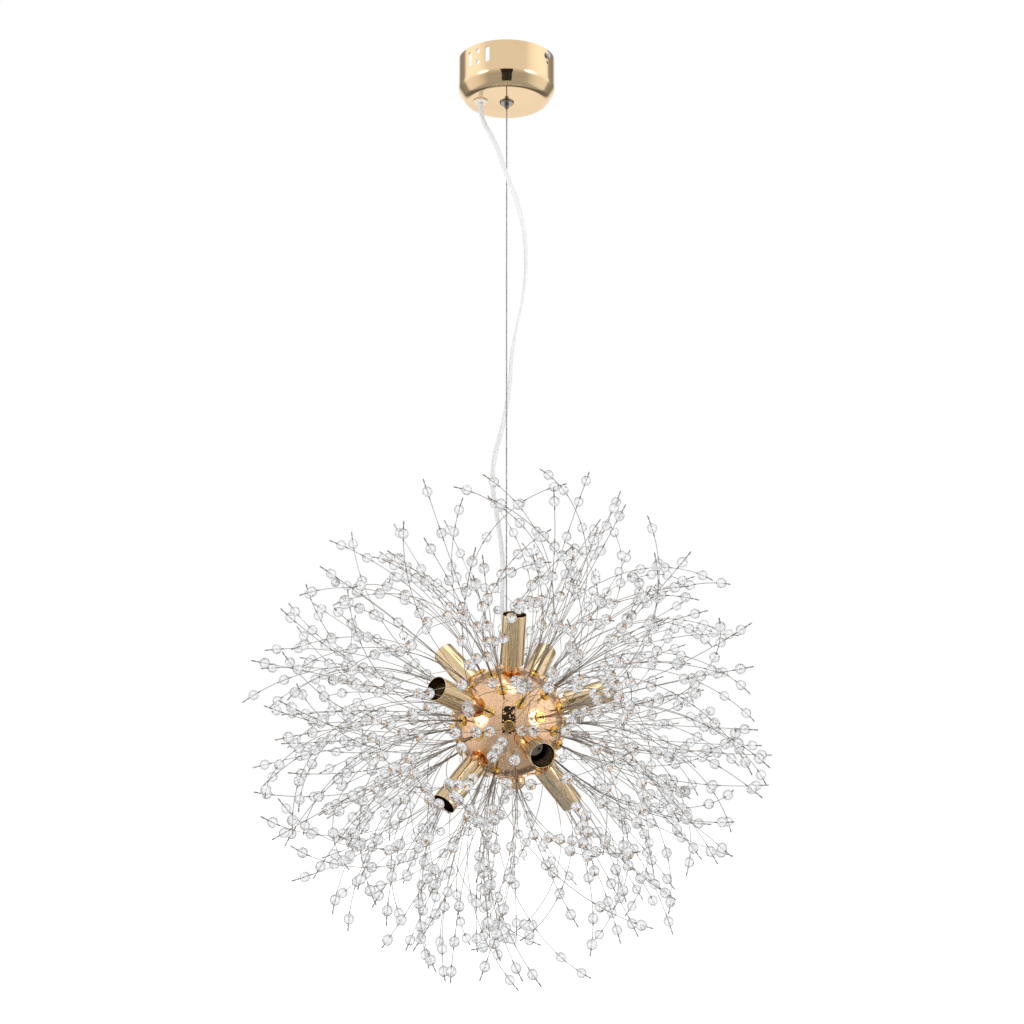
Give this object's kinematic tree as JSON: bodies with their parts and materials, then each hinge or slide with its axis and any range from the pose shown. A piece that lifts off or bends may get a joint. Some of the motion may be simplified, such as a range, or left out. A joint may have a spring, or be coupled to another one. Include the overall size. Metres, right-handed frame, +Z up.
{
  "type": "multi arm chandelier",
  "caption": "Crystal firework pendant: a mirror globe on a cable, with open lamp cups and sprays of beaded wires, below a round gold ceiling canopy.",
  "frame": {"origin": "centre of the canopy's open rim, in the plane of the ceiling", "axes": "+Z up along the suspension cable, so the fitting hangs towards -Z; -Y is the front, with the slotted side of the canopy; +X is the viewer's right from the front"},
  "size_m": [0.5034, 0.4928, 0.9346],
  "materials": {
    "champagne_gold": "polished champagne-gold plating",
    "polished_gold": "polished gold plating",
    "rose_gold": "mirror-polished rose-gold plating",
    "zinc_steel": "zinc-plated steel",
    "bright_nickel": "bright nickel plating",
    "steel_rope": "stranded steel rope",
    "dark_wire": "black-nickel plated spring wire",
    "crystal": "clear cut crystal glass",
    "clear_insulation": "clear flexible PVC over tinned copper",
    "brass": "plain turned brass",
    "ceramic_white": "glazed ceramic",
    "white_plastic": "moulded white plastic",
    "lead_insulation": "silicone insulation"
  },
  "bodies": {
    "canopy": {"canopy_cover": "champagne_gold", "ceiling_bracket": "zinc_steel", "side_screws": "zinc_steel", "earth_screw": "zinc_steel", "terminal_block_screw": "zinc_steel", "terminal_block": "white_plastic", "mains_leads": "lead_insulation", "gripper_body": "bright_nickel", "gripper_cap": "bright_nickel", "gripper_washer": "zinc_steel", "gripper_nut": "zinc_steel", "gripper_spring": "steel_rope", "cord_bushing": "clear_insulation", "cable_tail": "steel_rope", "power_cord": "clear_insulation"},
    "release_button": {"gripper_plunger": "bright_nickel"},
    "pendant": {"bundle_ferrules": "brass", "cable_ferrule": "bright_nickel", "cord_tail": "clear_insulation", "cup_nuts": "zinc_steel", "finial": "rose_gold", "finial_nut": "zinc_steel", "grommets": "polished_gold", "hub_anchor": "polished_gold", "hub_anchor_nut": "zinc_steel", "hub_cord_bushing": "clear_insulation", "hub_lamp_nuts": "zinc_steel", "hub_shell": "rose_gold", "hub_strap": "zinc_steel", "hub_top_cap": "rose_gold", "inner_beads_lower": "crystal", "inner_beads_upper": "crystal", "junction_block": "white_plastic", "lamp_collars": "champagne_gold", "lamp_cup_1": "champagne_gold", "lamp_cup_2": "champagne_gold", "lamp_cup_3": "champagne_gold", "lamp_cup_4": "champagne_gold", "lamp_cup_5": "champagne_gold", "lamp_cup_6": "champagne_gold", "lamp_cup_7": "champagne_gold", "lamp_cup_8": "champagne_gold", "lamp_cup_9": "champagne_gold", "lamp_holders": "ceramic_white", "lamp_leads": "lead_insulation", "lamp_nipples": "zinc_steel", "middle_beads_lower": "crystal", "middle_beads_upper": "crystal", "port_cover": "rose_gold", "port_strap": "zinc_steel", "suspension_cable": "steel_rope", "tip_beads_lower": "crystal", "tip_beads_upper": "crystal", "wire_sprays_1": "dark_wire", "wire_sprays_2": "dark_wire", "wire_sprays_3": "dark_wire", "wire_sprays_4": "dark_wire", "wire_sprays_5": "dark_wire"}
  },
  "joints": [
    {"name": "pendant_swing", "type": "hinge", "parent": "canopy", "child": "pendant", "pos_m": [0, 0, -0.0518], "axis": [0, 1, 0], "range_deg": [-8, 8], "deforming": ["power_cord"]},
    {"name": "plunger_press", "type": "slide", "parent": "canopy", "child": "release_button", "axis": [0, 0, 1], "range_m": [0, 0.0015], "stiffness_N_per_m": 300, "springref_m": -0.002, "deforming": ["gripper_spring"]}
  ]
}
